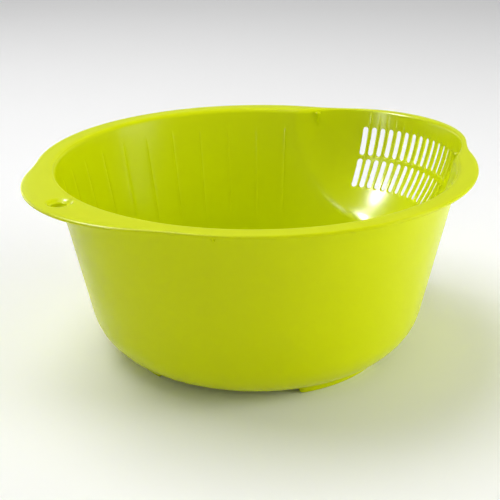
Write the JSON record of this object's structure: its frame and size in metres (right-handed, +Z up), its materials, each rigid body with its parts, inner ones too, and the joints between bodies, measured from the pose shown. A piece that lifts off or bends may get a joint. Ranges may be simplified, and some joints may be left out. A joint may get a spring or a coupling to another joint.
{
  "type": "washing and straining bowl",
  "caption": "Round glossy plastic bowl with a flat rim, a handle lug with a hanging hole, and a bulged strainer bay of upright slots opposite it.",
  "frame": {"origin": "on the bowl's axis, in the plane that its feet stand on", "axes": "+Z up along the bowl's axis, +X from the axis towards the strainer bay, -X towards the handle lug"},
  "size_m": [0.313, 0.28, 0.1253],
  "materials": {
    "lime_plastic": "glossy moulded polypropylene, lime yellow-green, slightly translucent"
  },
  "bodies": {
    "root": {"bowl_base": "lime_plastic", "base_corner": "lime_plastic", "bowl_wall": "lime_plastic", "strainer_bay": "lime_plastic", "pouring_lip": "lime_plastic", "rim_flange_left": "lime_plastic", "rim_flange_right": "lime_plastic", "handle_lug": "lime_plastic", "hanging_eyelet": "lime_plastic", "wall_ribs": "lime_plastic", "bar_ribs": "lime_plastic", "foot_arc_bay": "lime_plastic", "foot_arc_left": "lime_plastic", "foot_arc_handle": "lime_plastic", "foot_arc_right": "lime_plastic", "stacking_nibs": "lime_plastic", "flange_gussets": "lime_plastic"}
  },
  "joints": []
}
